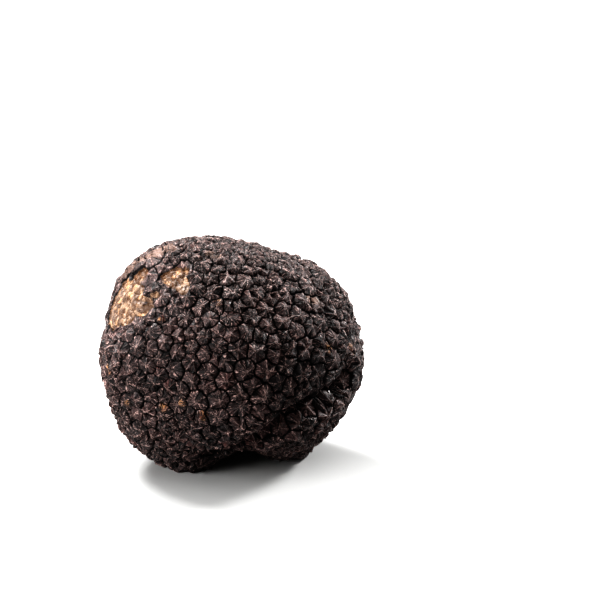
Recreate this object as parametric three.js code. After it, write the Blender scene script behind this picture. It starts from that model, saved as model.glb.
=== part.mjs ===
// A whole black truffle, one solid. It is a lumpy tuber whose skin is packed with pyramid-shaped warts.
// Millimetres, +Z up, front towards -Y. It rests in the plane z = 0 on small flat spots under its feet,
// and the origin is the middle of its outline on that plane.
import * as THREE from "three";
import { ConvexHull } from "three/addons/math/ConvexHull.js";

const { degToRad, seededRandom, smoothstep, lerp } = THREE.MathUtils;

// Driving dimensions of the tuber, and how deep its feet are pressed flat.
const WIDTH = 50;
const DEPTH = 46;
const HEIGHT = 45.6;
const PRESSED = 1.4;

// The warts: how many cover the skin, how far a tip stands up and a groove sinks in.
const WARTS = 720;
const TIP_RISE = 0.8;
const GROOVE_SINK = 0.6;
const TIP_DRIFT = 0.26; // how far a tip leans off the middle of its wart, as a share of the wart's radius
const SIZE_SPREAD = 0.42; // how much neighbouring warts differ in size
const ROUNDS = 26; // how many times the warts push each other apart
const SCATTER = 1.4; // how far a wart starts off the even spiral, as a share of its radius
const BARE_SINK = 0.45; // how far the flesh lies below the skin where it is bare
const SEED = 7;

// Swellings and hollows of the tuber: azimuth from +X towards +Y, elevation, half-width and height.
const LUMPS = [
  { name: "upper left shoulder", azimuth: 160, elevation: 44, reach: 36, height: 3.7 },
  { name: "lower left haunch", azimuth: 202, elevation: -36, reach: 25, height: 1.9 },
  { name: "left front foot", azimuth: 222, elevation: -64, reach: 13, height: 2.1 },
  { name: "right foot", azimuth: 2, elevation: -60, reach: 12, height: 2.6 },
  { name: "rear foot", azimuth: 104, elevation: -60, reach: 14, height: 4.3 },
  { name: "front belly", azimuth: -98, elevation: -6, reach: 42, height: 0.8 },
  { name: "right flank", azimuth: -2, elevation: -20, reach: 34, height: 2.4 },
  { name: "upper right slope", azimuth: 14, elevation: 24, reach: 30, height: 1.9 },
  { name: "rear swelling", azimuth: 104, elevation: 16, reach: 24, height: 1.2 },
  { name: "rear dimple", azimuth: 62, elevation: 16, reach: 13, height: -1.9 },
  { name: "back saddle", azimuth: 140, elevation: -16, reach: 18, height: -1.6 },
];

// Folds in the skin, each a chain of azimuth and elevation points with a half-width and a depth.
const FOLDS = [
  { name: "hollow below the belly", route: [[-70, -56], [-66, -72], [20, -84]], reach: 15, depth: 3 },
  {
    name: "front right fold",
    route: [[-104, -47], [-88, -42], [-74, -31], [-60, -17], [-46, -12], [-34, -10], [-20, -4]],
    reach: 5,
    depth: 3.6,
  },
  { name: "right rear crease", route: [[30, -34], [38, -12], [46, 8]], reach: 7, depth: 1.1 },
];

// Places where the skin is scraped off and the flesh shows.
const SCRAPES = [
  { name: "long scrape", azimuth: 194.5, elevation: 29.5, reach: 18, stretch: 0.53, turn: 44 },
  { name: "round scrape", azimuth: 222.5, elevation: 51.5, reach: 8, stretch: 0.7, turn: 155 },
];

// Warts grow larger on the belly and smaller on the haunch.
const GROWTH = [
  { azimuth: -72, elevation: 8, reach: 48, factor: 0.34 },
  { azimuth: 215, elevation: -42, reach: 36, factor: -0.22 },
  { azimuth: 80, elevation: 5, reach: 40, factor: 0.1 },
];

function direction(azimuth, elevation) {
  const a = degToRad(azimuth);
  const e = degToRad(elevation);
  return new THREE.Vector3(Math.cos(a) * Math.cos(e), Math.sin(a) * Math.cos(e), Math.sin(e));
}

// A smooth bump of height 1 at angle 0, fading out past its reach.
function bump(angle, reach) {
  return Math.exp(-((angle / degToRad(reach)) ** 2));
}

// The least angle between a direction and a chain of directions joined by straight arcs.
function angleToRoute(d, route) {
  let least = Math.PI;
  for (let i = 0; i + 1 < route.length; i++) {
    const start = direction(...route[i]);
    const end = direction(...route[i + 1]);
    const along = end.clone().sub(start);
    const share = THREE.MathUtils.clamp(d.clone().sub(start).dot(along) / along.lengthSq(), 0, 1);
    least = Math.min(least, d.angleTo(start.addScaledVector(along, share).normalize()));
  }
  return least;
}

// Slow waves that keep the tuber from looking turned on a lathe.
function unevenness(d) {
  return (
    0.35 * Math.sin(5.1 * d.x + 2.3 * d.z + 0.4) +
    0.3 * Math.sin(6.3 * d.y - 3.1 * d.x + 1.7) +
    0.25 * Math.sin(7.9 * d.z + 4.2 * d.y + 2.6)
  );
}

// The tuber's radius in a direction, without its warts.
function tuberRadius(d) {
  const x = d.x / (WIDTH / 2);
  const y = d.y / (DEPTH / 2);
  const z = d.z / (HEIGHT / 2);
  let radius = 1 / Math.sqrt(x * x + y * y + z * z) - 1 + unevenness(d);
  for (const lump of LUMPS)
    radius += lump.height * bump(d.angleTo(direction(lump.azimuth, lump.elevation)), lump.reach);
  for (const fold of FOLDS) radius -= fold.depth * bump(angleToRoute(d, fold.route), fold.reach);
  return radius;
}

// How bare the flesh is in a direction: 1 inside a scrape, 0 where the skin is whole.
function bareness(d) {
  let bare = 0;
  for (const scrape of SCRAPES) {
    const middle = direction(scrape.azimuth, scrape.elevation);
    const east = new THREE.Vector3(0, 0, 1).cross(middle).normalize();
    const north = middle.clone().cross(east);
    const turn = degToRad(scrape.turn);
    const along = d.dot(east) * Math.cos(turn) + d.dot(north) * Math.sin(turn);
    const across = d.dot(north) * Math.cos(turn) - d.dot(east) * Math.sin(turn);
    const away = Math.hypot(along, across / scrape.stretch) / Math.sin(degToRad(scrape.reach));
    if (d.dot(middle) > 0) bare = Math.max(bare, 1 - smoothstep(away, 0.85, 1.1));
  }
  return bare;
}

// How large a wart grows in a direction, as a share of the usual size.
function growth(d) {
  let factor = 1;
  for (const g of GROWTH) factor += g.factor * bump(d.angleTo(direction(g.azimuth, g.elevation)), g.reach);
  return factor;
}

// The middles of the warts as directions: a scattered spiral of points, each then pushed off its
// neighbours until every wart has room for its own size.
function wartMiddles() {
  const turn = Math.PI * (3 - Math.sqrt(5));
  const usual = Math.sqrt((4 * Math.PI) / WARTS / Math.sqrt(3) / 2) * 1.08;
  seededRandom(SEED);
  const warts = [];
  for (let i = 0; i < WARTS; i++) {
    const z = 1 - (2 * i + 1) / WARTS;
    const rim = Math.sqrt(1 - z * z);
    const stray = new THREE.Vector3(seededRandom(), seededRandom(), seededRandom()).subScalar(0.5);
    const middle = new THREE.Vector3(Math.cos(turn * i) * rim, Math.sin(turn * i) * rim, z);
    middle.addScaledVector(stray, 2 * SCATTER * usual).normalize();
    warts.push({ middle, size: 1 + SIZE_SPREAD * (2 * seededRandom() - 1) });
  }
  const gap = new THREE.Vector3();
  for (let round = 0; round < ROUNDS; round++) {
    const room = warts.map((w) => usual * w.size * growth(w.middle));
    for (let i = 0; i < WARTS; i++)
      for (let j = i + 1; j < WARTS; j++) {
        gap.subVectors(warts[i].middle, warts[j].middle);
        const short = room[i] + room[j] - gap.length();
        if (short <= 0) continue;
        gap.setLength(0.25 * short);
        warts[i].middle.add(gap);
        warts[j].middle.sub(gap);
      }
    for (const w of warts) w.middle.normalize();
  }
  return warts.map((w) => w.middle);
}

// For each wart, the corners of the groove round it, in order. A corner lies between three warts:
// partway from their middle to the point as far from all three.
function grooveCorners(middles) {
  const hull = new ConvexHull().setFromPoints(middles);
  const corners = new Map();
  const rings = new Map();
  for (const face of hull.faces) {
    const [a, b, c] = [face.edge, face.edge.next, face.edge.prev].map((e) => e.head().point);
    const even = face.normal.clone().normalize();
    const middle = a.clone().add(b).add(c).normalize();
    corners.set(face, middle.lerp(even, 0.6).normalize());
  }
  for (const face of hull.faces) {
    for (const start of [face.edge, face.edge.next, face.edge.prev]) {
      const wart = start.head().point;
      if (rings.has(wart)) continue;
      const ring = [];
      let edge = start;
      do {
        ring.push(edge.face);
        edge = edge.next.twin;
      } while (edge !== start);
      rings.set(wart, ring);
    }
  }
  return { corners, rings };
}

// The skin as one closed mesh: a fan of triangles from each wart's tip to the groove round it.
function truffleGeometry() {
  const middles = wartMiddles();
  const { corners, rings } = grooveCorners(middles);
  const positions = [];
  const indices = [];
  const centre = HEIGHT / 2 - PRESSED;
  const addPoint = (d, radius) => {
    positions.push(d.x * radius, d.y * radius, Math.max(0, d.z * radius + centre));
    return positions.length / 3 - 1;
  };
  const cornerIndex = new Map();
  for (const [face, d] of corners) {
    const sink = lerp(GROOVE_SINK, BARE_SINK, bareness(d));
    cornerIndex.set(face, addPoint(d, tuberRadius(d) - sink));
  }
  for (const middle of middles) {
    const ring = rings.get(middle);
    const reach = middle.distanceTo(corners.get(ring[0]));
    const lean = new THREE.Vector3(seededRandom(), seededRandom(), seededRandom()).subScalar(0.5);
    const tip = middle.clone().addScaledVector(lean, 2 * TIP_DRIFT * reach).normalize();
    const rise = TIP_RISE * (0.8 + 0.4 * seededRandom());
    const top = addPoint(tip, tuberRadius(tip) + lerp(rise, -BARE_SINK, bareness(middle)));
    ring.forEach((face, i) => {
      const next = ring[(i + 1) % ring.length];
      indices.push(top, cornerIndex.get(next), cornerIndex.get(face));
    });
  }
  const geometry = new THREE.BufferGeometry();
  geometry.setAttribute("position", new THREE.Float32BufferAttribute(positions, 3));
  geometry.setIndex(indices);
  geometry.computeBoundingBox();
  const middle = geometry.boundingBox.getCenter(new THREE.Vector3());
  geometry.translate(-middle.x, -middle.y, 0);
  geometry.computeVertexNormals();
  return geometry;
}

const skin = new THREE.MeshStandardMaterial({ color: 0x2b2220, roughness: 0.72, metalness: 0 });
const truffle = new THREE.Mesh(truffleGeometry(), skin);
truffle.name = "truffle";

const part = new THREE.Group();
part.add(truffle);

export default part;
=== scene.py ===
"""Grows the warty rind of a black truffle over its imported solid, and sets it on a pale stage.

The solid's skin is a fan of triangles for each wart, from a raised tip to the groove round it. Here each
fan becomes a fine net of rings, and a Geometry Nodes tree raises that net into a worn, cracked pyramid,
or into bare granular flesh where the rind is scraped off.
"""

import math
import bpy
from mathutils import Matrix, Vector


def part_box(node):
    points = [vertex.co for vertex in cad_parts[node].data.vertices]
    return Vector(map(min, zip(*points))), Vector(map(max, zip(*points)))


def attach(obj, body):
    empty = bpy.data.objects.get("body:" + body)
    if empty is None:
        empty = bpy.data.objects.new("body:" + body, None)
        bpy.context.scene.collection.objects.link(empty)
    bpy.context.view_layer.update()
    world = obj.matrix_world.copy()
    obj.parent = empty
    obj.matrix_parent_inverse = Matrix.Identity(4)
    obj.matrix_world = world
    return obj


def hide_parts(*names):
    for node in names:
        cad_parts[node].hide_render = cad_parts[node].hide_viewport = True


bl_info = {
    "name": "Black Truffle",
    "version": (1, 0, 0),
    "blender": (4, 5, 0),
    "location": "3D View > Sidebar > Truffle",
    "description": "Grows the warty rind of a black truffle and sets it on a pale stage",
    "category": "Object",
}

import bmesh
import bpy
import numpy as np
from bpy.props import FloatProperty, FloatVectorProperty, IntProperty, PointerProperty
from bpy.types import Operator, Panel, PropertyGroup
from mathutils import Vector

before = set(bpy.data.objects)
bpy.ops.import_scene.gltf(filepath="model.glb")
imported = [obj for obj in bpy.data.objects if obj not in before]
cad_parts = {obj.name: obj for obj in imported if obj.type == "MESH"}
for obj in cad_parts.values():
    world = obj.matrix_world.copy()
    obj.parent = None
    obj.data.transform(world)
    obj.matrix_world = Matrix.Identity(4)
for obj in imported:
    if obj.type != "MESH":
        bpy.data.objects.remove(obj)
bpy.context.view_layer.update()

MM = 0.001
NODE = "truffle"

MIDDLE_HEIGHT = 0.47  # the height of the tuber's middle, as a share of its full height
CORNER_FACES = 6  # how many of the solid's triangles join at a groove's corner
SAME_POINT = 0.001 * MM  # points of the solid that are nearer than this are one
SECOND_BOW = 0.6  # a groove's second, shorter bow, as a share of its first
TINY = 1e-12  # keeps a vector without a length from being divided by 0
FAR = 9.0  # stands for a spot on the far side, in half-widths of the spot
ISLAND_SHARE = 0.94  # how much of its cell an island of the UV map fills

# The rings of a wart's net: how far out each lies, from the tip at 0 to the groove at 1, and which of the
# groove's points it keeps: 2 keeps every second one.
RINGS = ((1.0, 1), (0.955, 1), (0.89, 1), (0.76, 1), (0.56, 2), (0.36, 2), (0.16, 4))

# A wart's height from groove to tip by how far out it is: worn flat, and sharp.
WORN_PROFILE = ((0.0, 0.74), (0.25, 0.74), (0.55, 0.64), (0.9, 0.5), (0.95, 0.42), (1.0, 0.0))
SHARP_PROFILE = ((0.0, 1.0), (0.14, 0.93), (0.5, 0.68), (0.9, 0.46), (0.95, 0.38), (1.0, 0.0))

# Where the rind is scraped off: directions from the truffle's middle and sizes, in degrees. An ellipse
# reaches furthest along its turn from east, and its stretch is its other half-width as a share of that.
SCRAPES = (
    {"azimuth": 194, "elevation": 29.5, "reach": 18, "stretch": 0.68, "turn": 34},
    {"azimuth": 194, "elevation": 42, "reach": 7, "stretch": 0.75, "turn": 80},
    {"azimuth": 221, "elevation": 53, "reach": 6.6, "stretch": 0.8, "turn": 10},
    {"azimuth": 230, "elevation": 50.5, "reach": 5, "stretch": 0.6, "turn": 160},
    {"azimuth": 216, "elevation": 41, "reach": 3.2, "stretch": 0.6, "turn": 20},
    {"azimuth": 263, "elevation": 76, "reach": 2.2, "stretch": 0.5, "turn": 0},
)

# Where the rind is only rubbed smooth.
RUBS = (
    {"azimuth": 183, "elevation": 56, "reach": 9, "stretch": 0.6, "turn": 60},
    {"azimuth": 176, "elevation": 42, "reach": 9, "stretch": 0.4, "turn": 70},
    {"azimuth": 242, "elevation": 72, "reach": 4.5, "stretch": 0.5, "turn": 0},
    {"azimuth": 332, "elevation": 38, "reach": 5, "stretch": 0.5, "turn": 140},
    {"azimuth": 60, "elevation": 40, "reach": 7, "stretch": 0.5, "turn": 120},
    {"azimuth": 110, "elevation": 20, "reach": 6, "stretch": 0.6, "turn": 20},
)

# Where a tip is worn through to golden flesh, each a small star.
STARS = tuple(
    {"azimuth": azimuth, "elevation": elevation, "reach": reach, "stretch": 1, "turn": 0}
    for azimuth, elevation, reach in (
        (237, -10, 3.2),
        (258, -12, 3.6),
        (247, -7, 2.4),
        (204, 1, 3.0),
        (228, 32, 2.6),
        (262, 44, 2.8),
        (325, 14, 3.0),
        (342, 9, 2.6),
        (215, -12, 2.2),
        (30, 8, 2.8),
        (75, -14, 3.0),
        (130, 12, 2.6),
        (158, -8, 3.2),
    )
)

# Where the bare flesh has dried darker and more golden.
STAINS = (
    {"azimuth": 216, "elevation": 53, "reach": 8.5, "stretch": 0.85, "turn": 20},
    {"azimuth": 180, "elevation": 17, "reach": 6, "stretch": 0.7, "turn": 20},
    {"azimuth": 191, "elevation": 47, "reach": 5, "stretch": 0.7, "turn": 60},
)


# ---------------------------------------------------------------- sizes and colours a user would change


class RindSizes(PropertyGroup):
    """Sizes of the rind's relief."""

    net_step: FloatProperty(
        name="Net Step",
        description="Distance between the net's points along a groove",
        default=0.4 * MM,
        unit="LENGTH",
        precision=5,
    )
    groove_wander: FloatProperty(
        name="Groove Wander",
        description="How far a groove bows off the straight line between its corners, as a share of it",
        default=0.1,
        subtype="FACTOR",
    )
    groove_depth: FloatProperty(
        name="Groove Depth",
        description="How far the groove is cut below the solid's groove",
        default=0.4 * MM,
        unit="LENGTH",
        precision=5,
    )
    lump: FloatProperty(
        name="Lump",
        description="How far the facets swell and sink",
        default=0.3 * MM,
        unit="LENGTH",
        precision=5,
    )
    crack: FloatProperty(
        name="Crack",
        description="Depth of the cracks that run from a wart's tip to its groove",
        default=0.2 * MM,
        unit="LENGTH",
        precision=5,
    )
    pit: FloatProperty(
        name="Pit",
        description="Depth of the pit in a worn wart's tip",
        default=0.34 * MM,
        unit="LENGTH",
        precision=5,
    )
    grain: FloatProperty(
        name="Flesh Grain",
        description="Height of the grains of bare flesh",
        default=0.42 * MM,
        unit="LENGTH",
        precision=5,
    )
    seed: IntProperty(name="Seed", description="Starts every random choice", default=11)


class RindColours(PropertyGroup):
    """Colours of the rind and of the flesh under it."""

    def colour(name, description, default):
        return FloatVectorProperty(
            name=name, description=description, default=default, subtype="COLOR", min=0, max=1
        )

    black: colour("Black", "Darkest warts", (0.015, 0.0095, 0.0098))
    brown: colour("Brown", "Lighter, browner warts", (0.056, 0.031, 0.029))
    red: colour("Red", "Reddish warts and their bruised tips", (0.11, 0.04, 0.034))
    # Crest: pale wear on ridges and tips, and partly a painted highlight.
    crest_wear_and_highlight: colour("Crest", "Worn ridges and tips", (0.46, 0.32, 0.29))
    # Dust: a dry crust on the top, and partly a painted top light.
    dust_and_top_light: colour("Dust", "Dry crust on the top", (0.12, 0.083, 0.074))
    rubbed: colour("Rubbed", "Rind rubbed smooth", (0.17, 0.11, 0.088))
    # Groove: near black, the painted shade at the bottom of the grooves and cracks; the same colour also
    # marks the dark grains and the dark streak lines.
    groove: colour("Groove", "The bottom of the grooves and cracks", (0.002, 0.0012, 0.0011))
    gold: colour("Gold", "Tips worn through to the flesh", (0.43, 0.24, 0.12))
    cream: colour("Cream", "The palest flesh", (0.205, 0.136, 0.092))
    tan: colour("Tan", "Most of the flesh", (0.085, 0.047, 0.027))
    umber: colour("Umber", "The darkest flesh, between the grains", (0.05, 0.022, 0.008))

    del colour


class StageSizes(PropertyGroup):
    """The camera, the lamps and the floor."""

    elevation: FloatProperty(
        name="Elevation",
        description="How far above the horizon the camera stands",
        default=math.radians(17),
        subtype="ANGLE",
    )
    distance: FloatProperty(
        name="Distance",
        description="From the camera to the truffle's middle",
        default=0.45,
        unit="LENGTH",
    )
    frame_width: FloatProperty(
        name="Frame Width",
        description="Width of the picture at the truffle",
        default=0.1186,
        unit="LENGTH",
    )
    aside: FloatProperty(
        name="Aside",
        description="How far the truffle lies left of the picture's middle",
        default=0.01345,
        unit="LENGTH",
    )
    below: FloatProperty(
        name="Below",
        description="How far the truffle lies below the picture's middle",
        default=0.0095,
        unit="LENGTH",
    )
    key_power: FloatProperty(
        name="Key Power", description="Power of the lamp behind and above", default=11.5, unit="POWER"
    )
    fill_power: FloatProperty(
        name="Fill Power", description="Power of the lamp at the front left", default=19.0, unit="POWER"
    )
    rim_power: FloatProperty(
        name="Rim Power", description="Power of the lamp behind on the right", default=6.5, unit="POWER"
    )
    ceiling_power: FloatProperty(
        name="Ceiling Power", description="Power of the wide lamp overhead", default=24.0, unit="POWER"
    )
    sky: FloatProperty(name="Sky", description="Light from the pale surroundings", default=0.2)


# ---------------------------------------------------------------- node trees


class Wiring:
    """Adds nodes to a tree and joins them, so that a formula reads from top to bottom."""

    def __init__(self, tree):
        self.tree = tree

    def node(self, kind, inputs=(), **settings):
        node = self.tree.nodes.new(kind)
        for name, value in settings.items():
            setattr(node, name, value)
        for key, value in dict(inputs).items():
            if isinstance(value, bpy.types.NodeSocket):
                self.tree.links.new(value, node.inputs[key])
            else:
                node.inputs[key].default_value = value
        return node

    def math(self, operation, *values):
        return self.node("ShaderNodeMath", enumerate(values), operation=operation).outputs[0]

    def vector(self, operation, *values):
        node = self.node("ShaderNodeVectorMath", enumerate(values), operation=operation)
        return node.outputs["Value" if operation in ("LENGTH", "DOT_PRODUCT") else "Vector"]

    def scale(self, vector, factor):
        inputs = {"Vector": vector, "Scale": factor}
        return self.node("ShaderNodeVectorMath", inputs, operation="SCALE").outputs["Vector"]

    def ramp(self, value, start, end, low=0.0, high=1.0):
        """A smooth step from low to high while value goes from start to end."""
        inputs = enumerate((value, start, end, low, high))
        return self.node("ShaderNodeMapRange", inputs, interpolation_type="SMOOTHSTEP").outputs[0]

    def mix(self, factor, a, b):
        """Between two numbers."""
        return self.node("ShaderNodeMix", {0: factor, 2: a, 3: b}, data_type="FLOAT").outputs[0]

    def blend(self, factor, a, b):
        """Between two colours."""
        return self.node("ShaderNodeMix", {0: factor, 6: a, 7: b}, data_type="RGBA").outputs[2]

    def noise(self, vector, scale, detail=2.0, roughness=0.5):
        inputs = {"Vector": vector, "Scale": scale, "Detail": detail, "Roughness": roughness}
        return self.node("ShaderNodeTexNoise", inputs).outputs[0]

    def cells(self, vector, scale, feature="F1", output="Distance"):
        inputs = {"Vector": vector, "Scale": scale}
        return self.node("ShaderNodeTexVoronoi", inputs, feature=feature).outputs[output]

    def shards(self, vector):
        """A number that slopes its own way in each cell, like planes broken off from each other."""
        cell = self.node("ShaderNodeTexVoronoi", {"Vector": vector, "Scale": 1.0}, feature="F1").outputs
        lean = self.vector("SUBTRACT", cell["Color"], (0.5, 0.5, 0.5))
        return self.vector("DOT_PRODUCT", lean, self.vector("SUBTRACT", vector, cell["Position"]))

    def seeded(self, vector, seed, spread):
        """The vector, moved to a far place of its own for each seed."""
        return self.vector("ADD", vector, self.scale(self.vector("ADD", seed, (0, 0, 0)), spread))

    def fray(self, edge, noise, amount):
        """The edge's distance, moved to and fro by a noise whose middle is 0.5."""
        return self.math("MULTIPLY_ADD", self.math("SUBTRACT", noise, 0.5), amount, edge)

    def curve(self, value, points):
        node = self.node("ShaderNodeFloatCurve", {"Value": value})
        line = node.mapping.curves[0]
        while len(line.points) < len(points):
            line.points.new(0.5, 0.5)
        for point, place in zip(line.points, points):
            point.location = place
        node.mapping.update()
        return node.outputs[0]

    def total(self, *values):
        value = values[0]
        for other in values[1:]:
            value = self.math("ADD", value, other)
        return value

    def product(self, *values):
        value = values[0]
        for other in values[1:]:
            value = self.math("MULTIPLY", value, other)
        return value

    def invert(self, value):
        return self.math("SUBTRACT", 1.0, value)


# ---------------------------------------------------------------- the net over the solid


def merged_copy(node):
    """The solid's mesh with its loose triangles joined."""
    solid = bmesh.new()
    solid.from_mesh(node.data)
    bmesh.ops.remove_doubles(solid, verts=solid.verts, dist=SAME_POINT)
    solid.verts.ensure_lookup_table()
    solid.verts.index_update()
    return solid


def tips_of_faces(solid):
    """The wart's tip in each triangle. A groove's corner always joins six triangles, so the first point
    that joins another number is a tip, and the other tips follow from face to face."""
    first = next(v for v in solid.verts if len(v.link_faces) != CORNER_FACES)
    tips = {first.link_faces[0]: first}
    waiting = [first.link_faces[0]]
    while waiting:
        face = waiting.pop()
        tip = tips[face]
        for edge in face.edges:
            other = next(f for f in edge.link_faces if f is not face)
            if other in tips:
                continue
            far = next(v for v in other.verts if v not in edge.verts)
            tips[other] = tip if tip in edge.verts else far
            waiting.append(other)
    return tips


def wart_rings(solid):
    """For each wart, its tip and the corners of the groove round it, anticlockwise from outside."""
    after = {}
    for face, tip in tips_of_faces(solid).items():
        corners = [v.index for v in face.verts]
        while corners[0] != tip.index:
            corners = corners[1:] + corners[:1]
        after.setdefault(tip.index, {})[corners[1]] = corners[2]
    rings = []
    for tip, step in sorted(after.items()):
        ring = [min(step)]
        while step[ring[-1]] != ring[0]:
            ring.append(step[ring[-1]])
        rings.append((tip, ring))
    return rings


def unit(vectors):
    return vectors / np.maximum(np.linalg.norm(vectors, axis=-1, keepdims=True), TINY)


def distance_from(spots, directions):
    """How far each direction lies from the nearest spot's middle, as a share of its half-width."""
    nearest = np.full(len(directions), FAR)
    for spot in spots:
        azimuth, elevation = math.radians(spot["azimuth"]), math.radians(spot["elevation"])
        middle = np.array(
            (
                math.cos(azimuth) * math.cos(elevation),
                math.sin(azimuth) * math.cos(elevation),
                math.sin(elevation),
            )
        )
        east = np.array((-math.sin(azimuth), math.cos(azimuth), 0))
        north = np.cross(middle, east)
        turn = math.radians(spot["turn"])
        along = directions @ (east * math.cos(turn) + north * math.sin(turn))
        across = directions @ (north * math.cos(turn) - east * math.sin(turn))
        away = np.hypot(along, across / spot["stretch"]) / math.sin(math.radians(spot["reach"]))
        away[directions @ middle < 0] = FAR
        nearest = np.minimum(nearest, away)
    return nearest


class Net:
    """The fine net over the solid: its points, its triangles and what each of them knows."""

    POINT_VALUES = ("rim", "stand", "ridge", "wart")

    def __init__(self, sizes):
        self.step = sizes.net_step
        self.wander = sizes.groove_wander
        self.random = np.random.default_rng(sizes.seed)
        self.base, self.out, self.spoke, self.home = [], [], [], []
        self.values = {name: [] for name in self.POINT_VALUES}
        self.count = 0
        self.triangles, self.facets, self.shades, self.ages = [], [], [], []

    def add(self, base, out, spoke=None, home=None, **values):
        """Adds points and gives their numbers. What isn't given is 0."""
        start, self.count = self.count, self.count + len(base)
        self.base.append(base)
        self.out.append(unit(out))
        self.spoke.append(np.zeros_like(base) if spoke is None else spoke)
        self.home.append(base if home is None else np.broadcast_to(home, base.shape))
        for name in self.POINT_VALUES:
            self.values[name].append(np.broadcast_to(values.get(name, 0.0), len(base)))
        return np.arange(start, self.count)

    def groove(self, a, b, out_a, out_b):
        """The points between two corners, on a line that bows to one side, an odd number of them."""
        length = np.linalg.norm(b - a)
        pieces = max(2, 2 * round(length / self.step / 2))
        share = (np.arange(1, pieces) / pieces)[:, None]
        out = unit(out_a + (out_b - out_a) * share)
        side = np.cross(unit(b - a), unit(out_a + out_b))
        bow = self.random.uniform(-1, 1) * np.sin(math.pi * share)
        bow = bow + SECOND_BOW * self.random.uniform(-1, 1) * np.sin(2 * math.pi * share)
        return a + (b - a) * share + side * bow * self.wander * length, out

    def stitch(self, outer, inner, outer_share, inner_share, sector):
        """Joins two rings with triangles. A share says how far round its ring a point lies."""
        i = j = 0
        m, n = len(outer), len(inner)
        while i < m or j < n:
            next_outer = outer_share[i + 1] if i + 1 < m else 1.0 if i < m else 2.0
            next_inner = inner_share[j + 1] if j + 1 < n else 1.0 if j < n else 2.0
            if next_outer <= next_inner:
                self.triangles.append((outer[i % m], outer[(i + 1) % m], inner[j % n]))
                self.facets.append(sector[min(i, m - 1)])
                i += 1
            else:
                self.triangles.append((outer[i % m], inner[(j + 1) % n], inner[j % n]))
                self.facets.append(sector[min(i, m - 1)])
                j += 1

    def finish(self):
        kept = (self.base, self.out, self.spoke, self.home)
        self.base, self.out, self.spoke, self.home = map(np.concatenate, kept)
        self.values = {name: np.concatenate(parts) for name, parts in self.values.items()}


def lay_net(node, sizes):
    """Covers the solid with the fine net, wart by wart."""
    solid = merged_copy(node)
    places = np.array([v.co for v in solid.verts])
    rings = wart_rings(solid)
    solid.free()

    # A wart faces along the middle of its triangles' normals, and a corner between its three warts.
    facing = np.zeros_like(places)
    for tip, ring in rings:
        corners = places[ring]
        middle = corners.mean(0)
        facing[tip] = unit(np.cross(corners - middle, np.roll(corners, -1, 0) - middle).sum(0))
        facing[ring] += facing[tip]
    facing = unit(facing)

    net = Net(sizes)
    corner_point, groove_points = {}, {}
    for tip, ring in rings:
        for corner in ring:
            if corner not in corner_point:
                added = net.add(places[[corner]], facing[[corner]], rim=1.0, ridge=1.0)
                corner_point[corner] = added[0]
        for a, b in zip(ring, ring[1:] + ring[:1]):
            low, high = sorted((a, b))
            if (low, high) not in groove_points:
                line, out = net.groove(places[low], places[high], facing[low], facing[high])
                share = np.arange(1, len(line) + 1) / (len(line) + 1)
                ridge = np.abs(2 * share - 1)
                groove_points[low, high] = (net.add(line, out, rim=1.0, ridge=ridge), line, out, ridge)

    for tip, ring in rings:
        outer, line, out, ridge, sector = [], [], [], [], []
        for a, b in zip(ring, ring[1:] + ring[:1]):
            order = 1 if a < b else -1
            numbers, points, outs, ridges = groove_points[min(a, b), max(a, b)]
            outer += [corner_point[a], *numbers[::order]]
            line += [places[a], *points[::order]]
            out += [facing[a], *outs[::order]]
            ridge += [1.0, *ridges[::order]]
            sector += [net.random.random()] * (len(numbers) + 1)
        line, out, ridge = np.array(line), np.array(out), np.array(ridge)
        up = facing[tip]
        stand = max(0.0, float((places[tip] - places[ring].mean(0)) @ up))
        foot = places[tip] - up * stand
        wart = net.random.random()
        round_share = np.arange(len(line)) / len(line)
        spoke = line - foot
        spoke = unit(spoke - np.outer(spoke @ up, up))
        first = len(net.triangles)
        before, before_share, before_sector = np.array(outer), round_share, sector
        for rim, keep in RINGS[1:]:
            kept = slice(None, None, keep)
            numbers = net.add(
                foot + (line[kept] - foot) * rim,
                up + (out[kept] - up) * rim,
                spoke[kept],
                foot,
                rim=rim,
                stand=stand,
                ridge=ridge[kept],
                wart=wart,
            )
            net.stitch(before, numbers, before_share, round_share[kept], before_sector)
            before, before_share, before_sector = numbers, round_share[kept], sector[kept]
        top = net.add(foot[None], up[None], home=foot, stand=stand, wart=wart)[0]
        for i, number in enumerate(before):
            net.triangles.append((number, before[(i + 1) % len(before)], top))
            net.facets.append(before_sector[i])
        made = len(net.triangles) - first
        net.shades += [wart] * made
        net.ages += [net.random.random()] * made
    net.finish()
    return net


def net_mesh(net, low, high):
    """The net as a mesh, with what its points and triangles know as attributes."""
    mesh = bpy.data.meshes.new("net")
    mesh.from_pydata(net.base.tolist(), [], net.triangles)
    for name, values in net.values.items():
        mesh.attributes.new(name, "FLOAT", "POINT").data.foreach_set("value", values)
    for name, vectors in (("out", net.out), ("spoke", net.spoke)):
        mesh.attributes.new(name, "FLOAT_VECTOR", "POINT").data.foreach_set("vector", vectors.ravel())
    for name, values in (("facet", net.facets), ("shade", net.shades), ("age", net.ages)):
        mesh.attributes.new(name, "FLOAT", "FACE").data.foreach_set("value", values)
    directions = outward(net.base, low, high)
    for name, spots in (("rub", RUBS), ("star", STARS), ("stain", STAINS)):
        values = distance_from(spots, directions)
        mesh.attributes.new(name, "FLOAT", "POINT").data.foreach_set("value", values)
    # A wart is scraped off mostly as a whole.
    away = distance_from(SCRAPES, directions)
    away_at_foot = distance_from(SCRAPES, outward(net.home, low, high))
    away = 0.5 * (away + away_at_foot)
    mesh.attributes.new("away", "FLOAT", "POINT").data.foreach_set("value", away)
    return mesh


def outward(points, low, high):
    """Directions from the tuber's middle."""
    middle = (np.array(low) + np.array(high)) / 2
    middle[2] = low[2] + (high[2] - low[2]) * MIDDLE_HEIGHT
    return unit(points - middle)


# ---------------------------------------------------------------- the relief, as geometry nodes

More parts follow.
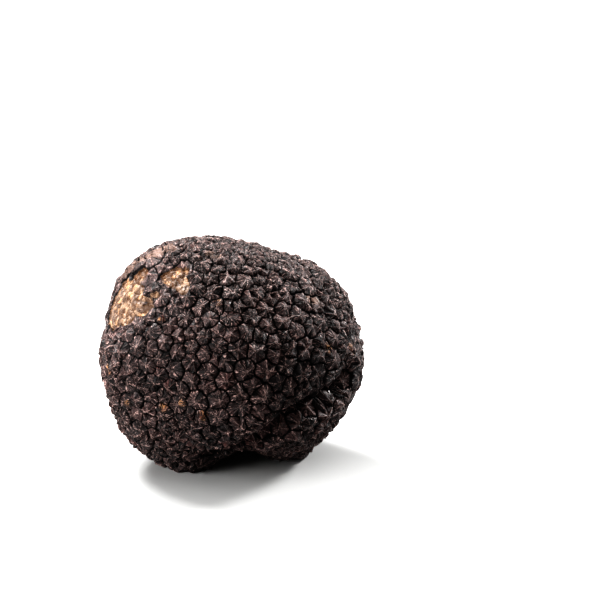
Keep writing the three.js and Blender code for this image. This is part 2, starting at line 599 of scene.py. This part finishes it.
# Noises over the surface, in waves per metre.
RAGGED_NOISE = 330.0
BRINK_NOISE = 560.0
SWELL_NOISE = 520.0
GAPE_NOISE = 260.0
GRAIN_NOISE = 450.0
GRAIN_CELLS = 720.0

# Noises round a wart: their waves as its spoke turns, and how far apart two warts read each of them.
SWAY_WAVES, SWAY_SPREAD = 0.9, 23.0
SHARD_WAVES, SHARD_SPREAD = 1.15, 53.0
CREASE_WAVES, CREASE_SPREAD = 1.25, 37.0
RIDGED_SPREAD = 91.0

# Zones down a wart's side, each from where it starts to where it is full. The tip is 0, the groove 1.
# The shards share the cracks' zone.
INSIDE = (1.0, 0.92)
BRINK_ZONE = (0.4, 0.85)
GROOVE_LINE = (0.97, 1.0)
GROOVE_ZONE = (0.94, 1.0)
SHOULDER_FOOT = (1.0, 0.8)
SHOULDER_TOP = (0.0, 0.6)
RIDGE_ZONE = (0.15, 0.6)
CRACK_ZONE = (0.1, 0.4)
PIT_ZONE = (0.3, 0.05)

# Which warts are sharp, which are pitted and which are ridged, by numbers from 0 to 1.
SHARP_WARTS = (0.35, 0.75)
PITTED_WARTS = (0.6, 0.4)
RIDGED_WARTS = (0.35, 0.6)

# The edge of the bare flesh, in half-widths of its spot, and how low the warts next to it are worn.
RAGGEDNESS = 0.9
BARE_EDGE = (1.04, 0.96)
WORN_LOW = (1.0, 1.6, 0.4, 1.0)

# How strongly each kind of unevenness shows, as a share of a wart's height or of the lump's size.
BRINK_WANDER = 0.1
SHOULDER_SWAY = 0.75
RIDGE_POWER, RIDGE_MEAN, RIDGE_HEIGHT = 2.2, 0.25, 0.26
SWELL_SHARE, SHARD_SHARE, LUMP_SHARE = 0.55, 1.2, 2.0

# A crack's half-width, as a step of the noise that it follows. Some warts, picked by a number folded from
# their own, have narrower cracks.
CRACK_WIDTH = 0.055
NARROW_FOLD, NARROW_CRACKS = 5.3, (0.5, 0.2, 0.0, 0.05)

# Where a slow noise closes the grooves.
CLOSED_GROOVES = (0.53, 0.65)

# The flesh's grains: the level of their noise that stays put, and how deep the gaps between them are.
GRAIN_LEVEL, GRAIN_GAPS = 0.62, 0.45

# No point stands higher than this share of its wart and this much more.
TALLEST, TALLEST_MORE = 1.1, 0.25 * MM


def relief_tree():
    """Raises the net into warts, cuts their grooves, cracks and pits, and roughens the bare flesh."""
    tree = bpy.data.node_groups.new("Warty Rind", "GeometryNodeTree")
    tree.is_modifier = True
    face = tree.interface
    face.new_socket("Geometry", in_out="INPUT", socket_type="NodeSocketGeometry")
    for name in ("Groove Depth", "Lump", "Crack", "Pit", "Grain"):
        face.new_socket(name, in_out="INPUT", socket_type="NodeSocketFloat").subtype = "DISTANCE"
    face.new_socket("Rind", in_out="INPUT", socket_type="NodeSocketMaterial")
    face.new_socket("Geometry", in_out="OUTPUT", socket_type="NodeSocketGeometry")

    w = Wiring(tree)
    given = tree.nodes.new("NodeGroupInput").outputs
    place = tree.nodes.new("GeometryNodeInputPosition").outputs[0]

    def own(name, kind="FLOAT"):
        return w.node("GeometryNodeInputNamedAttribute", {"Name": name}, data_type=kind).outputs[0]

    rim, stand, ridge, wart, away = map(own, ("rim", "stand", "ridge", "wart", "away"))
    out, spoke = own("out", "FLOAT_VECTOR"), own("spoke", "FLOAT_VECTOR")

    # Bare flesh has a ragged edge.
    edge = w.fray(away, w.noise(place, RAGGED_NOISE, 3.0), RAGGEDNESS)
    bare = w.ramp(edge, *BARE_EDGE)
    whole = w.invert(bare)
    inside = w.ramp(rim, *INSIDE)

    # The grooves' brinks wander, so that some grooves gape and others stay tight.
    wobble = w.math("SUBTRACT", w.noise(place, BRINK_NOISE, 2.0), 0.5)
    wander = w.product(wobble, w.ramp(rim, *BRINK_ZONE), BRINK_WANDER)
    brink = w.math("MAXIMUM", w.math("ADD", rim, wander), w.ramp(rim, *GROOVE_LINE))
    brink = w.math("MINIMUM", brink, 1.0)

    # Each wart is somewhere between worn and sharp, and low next to bare flesh.
    sharp = w.ramp(wart, *SHARP_WARTS)
    profile = w.mix(sharp, w.curve(brink, WORN_PROFILE), w.curve(brink, SHARP_PROFILE))
    kept = w.math("MULTIPLY", whole, w.ramp(edge, *WORN_LOW))
    height = w.product(stand, profile, kept)

    # A wart's shoulders stand unevenly high round it, and ridges run up from its corners.
    sway = w.noise(w.seeded(w.scale(spoke, SWAY_WAVES), wart, SWAY_SPREAD), 1.0, 1.0)
    sway = w.math("SUBTRACT", sway, 0.5)
    slope = w.ramp(rim, *SHOULDER_FOOT)
    shoulder = w.product(sway, slope, w.ramp(rim, *SHOULDER_TOP), stand, SHOULDER_SWAY)
    rise = w.math("SUBTRACT", w.math("POWER", ridge, RIDGE_POWER), RIDGE_MEAN)
    rise = w.product(rise, w.ramp(rim, *RIDGE_ZONE), inside)
    has_ridges = w.ramp(w.noise(w.seeded((0, 0, 0), wart, RIDGED_SPREAD), 1.0), *RIDGED_WARTS)
    ridged = w.product(rise, stand, has_ridges, RIDGE_HEIGHT)
    height = w.math("MULTIPLY_ADD", w.math("ADD", shoulder, ridged), kept, height)

    # Facets swell and sink, and break into tilted shards.
    swell = w.math("SUBTRACT", w.noise(place, SWELL_NOISE, 2.0, 0.5), 0.5)
    swell = w.math("MULTIPLY", swell, SWELL_SHARE)
    shards = w.shards(w.seeded(w.scale(spoke, SHARD_WAVES), wart, SHARD_SPREAD))
    shards = w.math("MULTIPLY", shards, w.ramp(rim, *CRACK_ZONE))
    swell = w.math("MULTIPLY_ADD", shards, SHARD_SHARE, swell)
    swell = w.product(swell, given["Lump"], inside, whole, LUMP_SHARE)

    # Cracks run from the tip to the groove wherever a noise round the wart crosses its middle value.
    crease = w.noise(w.seeded(w.scale(spoke, CREASE_WAVES), wart, CREASE_SPREAD), 1.0, 1.0)
    off_crack = w.math("ABSOLUTE", w.math("SUBTRACT", crease, 0.5))
    narrower = w.ramp(w.math("FRACT", w.math("MULTIPLY", wart, NARROW_FOLD)), *NARROW_CRACKS)
    off_crack = w.math("ADD", off_crack, narrower)
    crack = w.product(w.ramp(off_crack, CRACK_WIDTH, 0.0), w.ramp(rim, *CRACK_ZONE), inside)
    cut = w.product(crack, given["Crack"], whole)

    # Worn tips are pitted.
    pitted = w.math("MULTIPLY", w.ramp(wart, *PITTED_WARTS), w.ramp(rim, *PIT_ZONE))
    pit = w.product(pitted, given["Pit"], whole)

    # Grooves are deep and open in some places, and shallow and nearly closed in others.
    closed = w.ramp(w.noise(place, GAPE_NOISE, 1.0), *CLOSED_GROOVES)
    groove = w.mix(closed, given["Groove Depth"], w.math("MULTIPLY", given["Groove Depth"], -1.0))
    groove = w.product(w.ramp(rim, *GROOVE_ZONE), groove, whole)

    # The flesh is granular.
    gaps = w.math("MULTIPLY", w.cells(place, GRAIN_CELLS), GRAIN_GAPS)
    lumps = w.noise(place, GRAIN_NOISE, 3.0, 0.6)
    flesh = w.math("SUBTRACT", w.math("SUBTRACT", lumps, GRAIN_LEVEL), gaps)
    flesh = w.product(flesh, given["Grain"], bare)

    height = w.total(height, swell, flesh)
    for cutting in (cut, pit, groove):
        height = w.math("SUBTRACT", height, cutting)
    height = w.math("MINIMUM", height, w.math("MULTIPLY_ADD", stand, TALLEST, TALLEST_MORE))
    raised = w.vector("ADD", place, w.scale(out, height))
    parts = w.node("ShaderNodeSeparateXYZ", {0: raised}).outputs
    floored = w.math("MAXIMUM", parts[2], 0.0)
    raised = w.node("ShaderNodeCombineXYZ", {0: parts[0], 1: parts[1], 2: floored}).outputs[0]

    shape = given["Geometry"]
    for name, value in (("bare", bare), ("crease", crease), ("brink", brink), ("closed", closed)):
        inputs = {"Geometry": shape, "Name": name, "Value": value}
        shape = w.node("GeometryNodeStoreNamedAttribute", inputs, data_type="FLOAT").outputs[0]
    shape = w.node("GeometryNodeSetPosition", {"Geometry": shape, "Position": raised}).outputs[0]
    shape = w.node("GeometryNodeSetShadeSmooth", {"Geometry": shape}).outputs[0]
    shape = w.node("GeometryNodeRealizeInstances", {"Geometry": shape}).outputs[0]
    shape = w.node("GeometryNodeSetMaterial", {"Geometry": shape, "Material": given["Rind"]}).outputs[0]
    w.node("NodeGroupOutput", {"Geometry": shape})
    return tree


def raise_relief(piece, sizes, material):
    """Runs the relief tree over the piece and keeps its result as a plain mesh."""
    tree = relief_tree()
    modifier = piece.modifiers.new("Warty Rind", "NODES")
    modifier.node_group = tree
    values = {
        "Groove Depth": sizes.groove_depth,
        "Lump": sizes.lump,
        "Crack": sizes.crack,
        "Pit": sizes.pit,
        "Grain": sizes.grain,
        "Rind": material,
    }
    for item in tree.interface.items_tree:
        if item.in_out == "INPUT" and item.name in values:
            modifier[item.identifier] = values[item.name]
    evaluated = piece.evaluated_get(bpy.context.evaluated_depsgraph_get())
    mesh = bpy.data.meshes.new_from_object(evaluated)
    piece.modifiers.clear()
    piece.data = mesh


def map_on_cube(mesh, directions):
    """A UV map with six islands: each triangle is laid on the side of a cube that it faces."""
    loops = np.empty(len(mesh.loops), np.int32)
    mesh.loops.foreach_get("vertex_index", loops)
    loops = loops.reshape(-1, 3)
    facing = directions[loops].mean(1)
    axis = np.abs(facing).argmax(1)
    sign = np.take_along_axis(facing, axis[:, None], 1)[:, 0] > 0
    corners = directions[loops]
    along = np.take_along_axis(corners, axis[:, None, None], 2)[:, :, 0]
    across = [
        np.take_along_axis(corners, ((axis + turn) % 3)[:, None, None], 2)[:, :, 0] for turn in (1, 2)
    ]
    u, v = (np.arctan(a / np.abs(along)) / (math.pi / 4) for a in across)
    u = np.where(sign[:, None], u, -u)
    u = (axis[:, None] + 0.5 + 0.5 * ISLAND_SHARE * u) / 3
    v = (sign[:, None] + 0.5 + 0.5 * ISLAND_SHARE * v) / 2
    layer = mesh.uv_layers.new(name="OFBake")
    layer.data.foreach_set("uv", np.stack((u, v), 2).ravel())


# ---------------------------------------------------------------- the finish


# Noises over the surface, in waves per metre.
FINE_NOISE = 3200.0
BLOTCH_NOISE = 420.0
PATCH_NOISE = 70.0
VEIN_NOISE = 620.0
FLESH_CELLS = 850.0

# Streaks and planes round a wart: how far apart two warts read them, how much they change from tip to
# groove, and their waves. How lined with streaks a wart is follows from a number folded from its own.
STREAK_SPREAD, STREAK_DRIFT = 61.0, 0.25
STREAK_WAVES, PLANE_WAVES = 6.5, 2.6
LINED_FOLD, LINED_WARTS = 7.3, (0.15, 0.8, 0.25, 1.0)

# How brown the rind is: the shares of its wart, its facet and two noises, and where black turns to brown.
WART_TONE, FACET_TONE, PATCH_TONE, BLOTCH_TONE = 0.3, 0.35, 0.3, 0.35
MIDDLING = (0.35, 0.65)
BROWNING = (0.3, 1.0)

# Dust, with a painted top light, makes the upper rind paler; dark grains lie all over, and red on the warts
# with the greatest age.
DUST_AND_TOP_LIGHT_HEIGHT = (26 * MM, 46 * MM)
DUST_AND_TOP_LIGHT_GRAIN, DUST_AND_TOP_LIGHT_FACET = (0.35, 0.6), (0.0, 1.0, 0.3, 0.6)
DARK_GRAIN, DARK_GRAIN_SHARE = (0.5, 0.4), 0.65
RED_AGE, RED_BLOTCH, RED_SHARE = (0.86, 1.0), (0.45, 0.7), 0.6

# Pale wear and painted highlights on the ridges, the tip and the streaks, and the dark lines between the
# streaks.
RIDGE_LINE, RIDGE_FOOT, RIDGE_WEAR_AND_HIGHLIGHT = (0.8, 1.0), (1.0, 0.8), 0.6
TIP_ZONE, TIP_WEAR_AND_HIGHLIGHT = (0.45, 0.05), 0.4
STREAK_TOP, STREAK_WEAR_AND_HIGHLIGHT = (0.55, 0.61), 0.9
WEAR_AND_HIGHLIGHT_GRAIN, MOST_WEAR_AND_HIGHLIGHT = (0.4, 0.6), 0.85
DARK_STREAK, DARK_STREAK_EDGE, DARK_STREAK_SHARE = 0.46, (0.045, 0.02), 0.9

# Rubbed rind and golden stars: how frayed their edges are, where they end, and how the grain breaks them.
RUB_FRAY, RUB_EDGE, RUB_BRINK = 1.2, (1.1, 0.8), (0.98, 0.9)
RUB_GRAIN = (0.3, 0.55, 0.35, 0.9)
STAR_FRAY, STAR_EDGE = 1.2, (1.0, 0.5)
STAR_STREAK, STAR_GRAIN, STAR_GOLD = (0.44, 0.54), (0.35, 0.5), (0.4, 0.6)

# Painted shade in dark lines: the cracks by their half-width and their start at the tip, and the seams
# along the grooves.
CRACK_LINE, CRACK_START, CRACK_SHARE = (0.026, 0.008), (0.08, 0.3), 0.9
SEAM_SHADE_LINE, CLOSED_SEAM_SHADE = (0.88, 0.955), 0.7

# Flesh: its edge, its pale veins and grains, its golden stains, and what is dark between them.
FLESH_FRAY, FLESH_EDGE = 0.8, (0.4, 0.6)
PALE_VEIN, PALE_VEIN_SHARE = (0.42, 0.62), 0.8
PALE_GRAIN, PALE_GRAIN_SHARE = (0.6, 0.2), 0.4
PALEST = (0.2, 1.0)
STAIN_FRAY, STAIN_EDGE, STAIN_SHARE = 1.5, (1.2, 0.7), 0.35
GOLD_BLOTCH, GOLD_SHARE = (0.52, 0.64), 0.45
GAP_CELL, GAP_VEIN = (0.36, 0.5), (0.6, 0.48)
SPECK_GRAIN, SPECK_VEIN, SPECK_SHARE = (0.42, 0.3), (0.6, 0.5), 0.85
STAIN_VEIN, STAIN_DARK = (0.64, 0.54), 0.95

# Roughness: of the rind off a streak and on it, and of the flesh by its grain.
GLOSS_STREAK, DULL_RIND, SMOOTH_RIND = (0.45, 0.6), 0.65, 0.3
FLESH_GLOSS = (0.4, 0.6, 0.14, 0.5)
GLINT = 0.3  # how strongly rind and flesh mirror light that falls straight on them

# Heights of the fine relief, in millimetres.
PLANE_SHARE, LINES_START, LINES_HEIGHT = 1.2, (0.04, 0.25), 0.9
FINE_CRACK = -0.5
BLOTCH_SHARE, RIND_GRAIN = 1.5, 0.28
FLESH_GAPS, FLESH_GRAIN = 0.7, 0.85


def rind_material(colours):
    """Matte brown-black rind with worn crests carrying painted highlights, a painted paler top and painted
    shade in its grooves, and wet granular flesh where it is bare.
    """
    material = bpy.data.materials.new("truffle rind and flesh")
    material.use_nodes = True
    material.node_tree.nodes.clear()
    w = Wiring(material.node_tree)

    def own(name, output="Fac"):
        return w.node("ShaderNodeAttribute", attribute_name=name).outputs[output]

    def tinted(layer, amount, colour):
        """The layer with that amount of a colour over it."""
        return w.blend(amount, layer, (*colour, 1.0))

    rim, ridge, crease, brink, closed = map(own, ("rim", "ridge", "crease", "brink", "closed"))
    rub, star, stain = map(own, ("rub", "star", "stain"))
    facet, shade, age = map(own, ("facet", "shade", "age"))
    spoke = own("spoke", "Vector")
    place = w.node("ShaderNodeTexCoord").outputs["Object"]

    # Streaks run down a wart's sides: a noise that hardly changes on the way from tip to groove.
    round_wart = w.seeded(w.seeded(spoke, shade, STREAK_SPREAD), rim, STREAK_DRIFT)
    streak = w.noise(w.scale(round_wart, STREAK_WAVES), 1.0, 3.0, 0.6)
    planes = w.shards(w.scale(round_wart, PLANE_WAVES))
    lined = w.ramp(w.math("FRACT", w.math("MULTIPLY", shade, LINED_FOLD)), *LINED_WARTS)
    grain = w.noise(place, FINE_NOISE, 3.0, 0.6)
    blotch = w.noise(place, BLOTCH_NOISE, 3.0, 0.6)
    patch = w.noise(place, PATCH_NOISE, 2.0)
    bare = w.ramp(w.fray(own("bare"), grain, FLESH_FRAY), *FLESH_EDGE)

    # The rind is black to brown, dusty and painted paler on top as if lit from above, with dark grains and
    # a few reddish warts.
    tone = w.total(
        w.math("MULTIPLY", shade, WART_TONE),
        w.math("MULTIPLY", facet, FACET_TONE),
        w.math("MULTIPLY", w.ramp(patch, *MIDDLING), PATCH_TONE),
        w.math("MULTIPLY", w.ramp(blotch, *MIDDLING), BLOTCH_TONE),
    )
    rind = tinted((*colours.black, 1.0), w.ramp(tone, *BROWNING), colours.brown)
    height = w.node("ShaderNodeSeparateXYZ", {0: place}).outputs[2]
    # Dust and a painted top light: the rind turns paler towards the top.
    dusty_and_top_lit = w.product(
        w.ramp(height, *DUST_AND_TOP_LIGHT_HEIGHT),
        w.ramp(grain, *DUST_AND_TOP_LIGHT_GRAIN),
        w.ramp(facet, *DUST_AND_TOP_LIGHT_FACET),
    )
    rind = tinted(rind, dusty_and_top_lit, colours.dust_and_top_light)
    rind = tinted(rind, w.math("MULTIPLY", w.ramp(grain, *DARK_GRAIN), DARK_GRAIN_SHARE), colours.groove)
    reddish = w.product(w.ramp(age, *RED_AGE), w.ramp(blotch, *RED_BLOTCH), RED_SHARE)
    rind = tinted(rind, reddish, colours.red)

    # Crests are worn paler and carry painted highlights: the ridges, the tips and the tops of the streaks.
    on_ridge = w.product(w.ramp(ridge, *RIDGE_LINE), w.ramp(rim, *RIDGE_FOOT), RIDGE_WEAR_AND_HIGHLIGHT)
    on_tip = w.math("MULTIPLY", w.ramp(rim, *TIP_ZONE), TIP_WEAR_AND_HIGHLIGHT)
    on_streak = w.product(w.ramp(streak, *STREAK_TOP), lined, STREAK_WEAR_AND_HIGHLIGHT)
    worn_and_highlighted = w.math("MULTIPLY", w.total(on_ridge, on_tip, on_streak), w.ramp(grain, *WEAR_AND_HIGHLIGHT_GRAIN))
    rind = tinted(rind, w.math("MINIMUM", worn_and_highlighted, MOST_WEAR_AND_HIGHLIGHT), colours.crest_wear_and_highlight)
    off_line = w.math("ABSOLUTE", w.math("SUBTRACT", streak, DARK_STREAK))
    line = w.product(w.ramp(off_line, *DARK_STREAK_EDGE), lined, DARK_STREAK_SHARE)
    rind = tinted(rind, line, colours.groove)

    # Some of the rind is rubbed smooth.
    rubbed = w.ramp(w.fray(rub, blotch, RUB_FRAY), *RUB_EDGE)
    rubbed = w.product(rubbed, w.ramp(brink, *RUB_BRINK), w.ramp(grain, *RUB_GRAIN))
    rind = tinted(rind, rubbed, colours.rubbed)

    # A few tips are worn through to rusty flesh.
    golden = w.product(
        w.ramp(w.fray(star, grain, STAR_FRAY), *STAR_EDGE),
        w.ramp(streak, *STAR_STREAK),
        w.ramp(grain, *STAR_GRAIN),
    )
    ochre = tinted((*colours.red, 1.0), w.ramp(blotch, *STAR_GOLD), colours.gold)
    rind = w.blend(golden, rind, ochre)

    # Grooves and cracks are painted nearly black, as painted shade in their hollows.
    off_crack = w.math("ABSOLUTE", w.math("SUBTRACT", crease, 0.5))
    crack = w.product(w.ramp(off_crack, *CRACK_LINE), w.ramp(rim, *CRACK_START))
    painted_seam_shade = w.math("MULTIPLY", w.ramp(brink, *SEAM_SHADE_LINE), w.mix(closed, 1.0, CLOSED_SEAM_SHADE))
    painted_furrow_shade = w.math("MAXIMUM", painted_seam_shade, w.math("MULTIPLY", crack, CRACK_SHARE))
    rind = tinted(rind, painted_furrow_shade, colours.groove)

    # Flesh is pale grains in a tan ground, with golden stains and dark specks between them.
    grains = w.cells(place, FLESH_CELLS)
    veins = w.noise(place, VEIN_NOISE, 4.0, 0.7)
    pale_grain = w.math("MULTIPLY", w.ramp(grains, *PALE_GRAIN), PALE_GRAIN_SHARE)
    pale = w.math("MULTIPLY_ADD", w.ramp(veins, *PALE_VEIN), PALE_VEIN_SHARE, pale_grain)
    flesh = tinted((*colours.tan, 1.0), w.ramp(pale, *PALEST), colours.cream)
    stained = w.ramp(w.fray(stain, blotch, STAIN_FRAY), *STAIN_EDGE)
    golden = w.math("MULTIPLY", w.ramp(blotch, *GOLD_BLOTCH), GOLD_SHARE)
    golden = w.math("MAXIMUM", golden, w.math("MULTIPLY", stained, STAIN_SHARE))
    flesh = tinted(flesh, golden, colours.gold)
    gap = w.math("MULTIPLY", w.ramp(grains, *GAP_CELL), w.ramp(veins, *GAP_VEIN))
    speck = w.product(w.ramp(grain, *SPECK_GRAIN), w.ramp(veins, *SPECK_VEIN), SPECK_SHARE)
    dried = w.product(stained, w.ramp(veins, *STAIN_VEIN), STAIN_DARK)
    dark = w.math("MAXIMUM", w.math("MAXIMUM", gap, speck), dried)
    flesh = tinted(flesh, dark, colours.umber)
    surface = w.blend(bare, rind, flesh)

    rough = w.mix(w.ramp(streak, *GLOSS_STREAK), DULL_RIND, SMOOTH_RIND)
    rough = w.mix(bare, rough, w.ramp(grain, *FLESH_GLOSS))

    whole = w.invert(bare)
    lines = w.math("MULTIPLY_ADD", planes, PLANE_SHARE, w.math("MULTIPLY", streak, lined))
    lines = w.product(lines, w.ramp(rim, *LINES_START), whole, LINES_HEIGHT)
    cut = w.product(crack, whole, FINE_CRACK)
    rind_grain = w.total(grain, w.math("MULTIPLY", blotch, BLOTCH_SHARE))
    rind_grain = w.product(rind_grain, whole, RIND_GRAIN)
    flesh_grain = w.math("SUBTRACT", veins, w.math("MULTIPLY", grains, FLESH_GAPS))
    flesh_grain = w.product(flesh_grain, bare, FLESH_GRAIN)
    relief = w.total(lines, cut, rind_grain, flesh_grain)
    bump = w.node("ShaderNodeBump", {"Height": relief, "Distance": MM, "Strength": 1.0}).outputs[0]

    finish = w.node(
        "ShaderNodeBsdfPrincipled",
        {"Base Color": surface, "Roughness": rough, "Normal": bump, "Specular IOR Level": GLINT},
    )
    w.node("ShaderNodeOutputMaterial", {"Surface": finish.outputs[0]})
    return material


# ---------------------------------------------------------------- the stage

# The floor is a round board, in metres, that ends before the lamps' light on it fades.
FLOOR_REACH = 0.56
FLOOR_SIDES = 64
FLOOR_COLOUR = (0.36, 0.36, 0.357, 1)
FLOOR_ROUGHNESS = 0.7
SKY_COLOUR = (1.0, 1.0, 1.0, 1)

# The lamps: name, place and side in metres, and the setting that holds its power.
LAMPS = (
    ("softbox", (-0.3, 0.36, 0.6), 0.3, "key_power"),
    ("side fill", (-0.74, -0.36, 0.14), 0.6, "fill_power"),
    ("rim light", (0.5, 0.32, 0.33), 0.15, "rim_power"),
    ("ceiling", (0, 0, 1.5), 2.0, "ceiling_power"),
)


def floor_material():
    """Plain pale matte board."""
    material = bpy.data.materials.new("pale floor")
    material.use_nodes = True
    finish = material.node_tree.nodes["Principled BSDF"]
    finish.inputs["Base Color"].default_value = FLOOR_COLOUR
    finish.inputs["Roughness"].default_value = FLOOR_ROUGHNESS
    return material


# ---------------------------------------------------------------- operators


class TRUFFLE_OT_grow_truffle(Operator):
    """Grow the truffle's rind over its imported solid"""

    bl_idname = "truffle.grow_truffle"
    bl_label = "Grow Truffle"

    def execute(self, context):
        scene = context.scene
        low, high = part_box(NODE)
        net = lay_net(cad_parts[NODE], scene.truffle_sizes)
        piece = bpy.data.objects.new("truffle_body", net_mesh(net, low, high))
        scene.collection.objects.link(piece)
        raise_relief(piece, scene.truffle_sizes, rind_material(scene.truffle_colours))
        if len(piece.data.vertices) != net.count:
            raise RuntimeError("the relief changed the number of the net's points")
        map_on_cube(piece.data, outward(net.base, low, high))
        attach(piece, "root")
        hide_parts(NODE)
        return {"FINISHED"}


def add_lamp(context, name, place, target, size, power):
    """A square area lamp that shines at the target."""
    lamp = bpy.data.lights.new(name, "AREA")
    lamp.size = size
    lamp.energy = power
    holder = bpy.data.objects.new(name, lamp)
    holder.location = place
    holder.rotation_euler = (Vector(target) - Vector(place)).to_track_quat("-Z", "Y").to_euler()
    context.scene.collection.objects.link(holder)


class TRUFFLE_OT_set_stage(Operator):
    """Lay the floor, hang the lamps and place the camera"""

    bl_idname = "truffle.set_stage"
    bl_label = "Set Stage"

    def execute(self, context):
        scene = context.scene
        stage = scene.truffle_stage
        low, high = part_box(NODE)
        middle = (low + high) / 2

        board = bpy.data.meshes.new("floor")
        turns = [2 * math.pi * i / FLOOR_SIDES for i in range(FLOOR_SIDES)]
        corners = [(FLOOR_REACH * math.cos(turn), FLOOR_REACH * math.sin(turn), 0) for turn in turns]
        board.from_pydata(corners, [], [tuple(range(FLOOR_SIDES))])
        board.materials.append(floor_material())
        floor = bpy.data.objects.new("floor", board)
        scene.collection.objects.link(floor)

        for name, place, size, power in LAMPS:
            add_lamp(context, name, place, middle, size, getattr(stage, power))

        scene.world = bpy.data.worlds.new("pale surroundings")
        scene.world.use_nodes = True
        sky = scene.world.node_tree.nodes["Background"]
        sky.inputs["Color"].default_value = SKY_COLOUR
        w = Wiring(scene.world.node_tree)
        seen = w.node("ShaderNodeLightPath").outputs["Is Camera Ray"]
        scene.world.node_tree.links.new(w.mix(seen, stage.sky, 1.0), sky.inputs["Strength"])
        scene.view_settings.view_transform = "Standard"
        scene.view_settings.look = "Very High Contrast"

        lens = bpy.data.cameras.new("camera")
        lens.lens = lens.sensor_width * stage.distance / stage.frame_width
        camera = bpy.data.objects.new("camera", lens)
        rise = Vector((0, math.sin(stage.elevation), math.cos(stage.elevation)))
        back = Vector((0, -math.cos(stage.elevation), math.sin(stage.elevation)))
        aim = middle + Vector((stage.aside, 0, 0)) + rise * stage.below
        camera.location = aim + back * stage.distance
        camera.rotation_euler = (-back).to_track_quat("-Z", "Y").to_euler()
        scene.collection.objects.link(camera)
        scene.camera = camera
        return {"FINISHED"}


class TRUFFLE_PT_panel(Panel):
    """Lists the steps that make the truffle and its stage"""

    bl_label = "Black Truffle"
    bl_idname = "TRUFFLE_PT_panel"
    bl_space_type = "VIEW_3D"
    bl_region_type = "UI"
    bl_category = "Truffle"

    def draw(self, context):
        for title, group, operator in (
            ("Relief", "truffle_sizes", TRUFFLE_OT_grow_truffle),
            ("Colours", "truffle_colours", None),
            ("Stage", "truffle_stage", TRUFFLE_OT_set_stage),
        ):
            box = self.layout.box()
            box.label(text=title)
            settings = getattr(context.scene, group)
            for name in settings.__annotations__:
                box.prop(settings, name)
            if operator:
                box.operator(operator.bl_idname)


CLASSES = (
    RindSizes,
    RindColours,
    StageSizes,
    TRUFFLE_OT_grow_truffle,
    TRUFFLE_OT_set_stage,
    TRUFFLE_PT_panel,
)


def register():
    for cls in CLASSES:
        bpy.utils.register_class(cls)
    bpy.types.Scene.truffle_sizes = PointerProperty(type=RindSizes)
    bpy.types.Scene.truffle_colours = PointerProperty(type=RindColours)
    bpy.types.Scene.truffle_stage = PointerProperty(type=StageSizes)


def unregister():
    del bpy.types.Scene.truffle_stage
    del bpy.types.Scene.truffle_colours
    del bpy.types.Scene.truffle_sizes
    for cls in reversed(CLASSES):
        bpy.utils.unregister_class(cls)


def main():
    register()
    bpy.ops.truffle.grow_truffle()
    bpy.ops.truffle.set_stage()


if __name__ == "__main__":
    main()
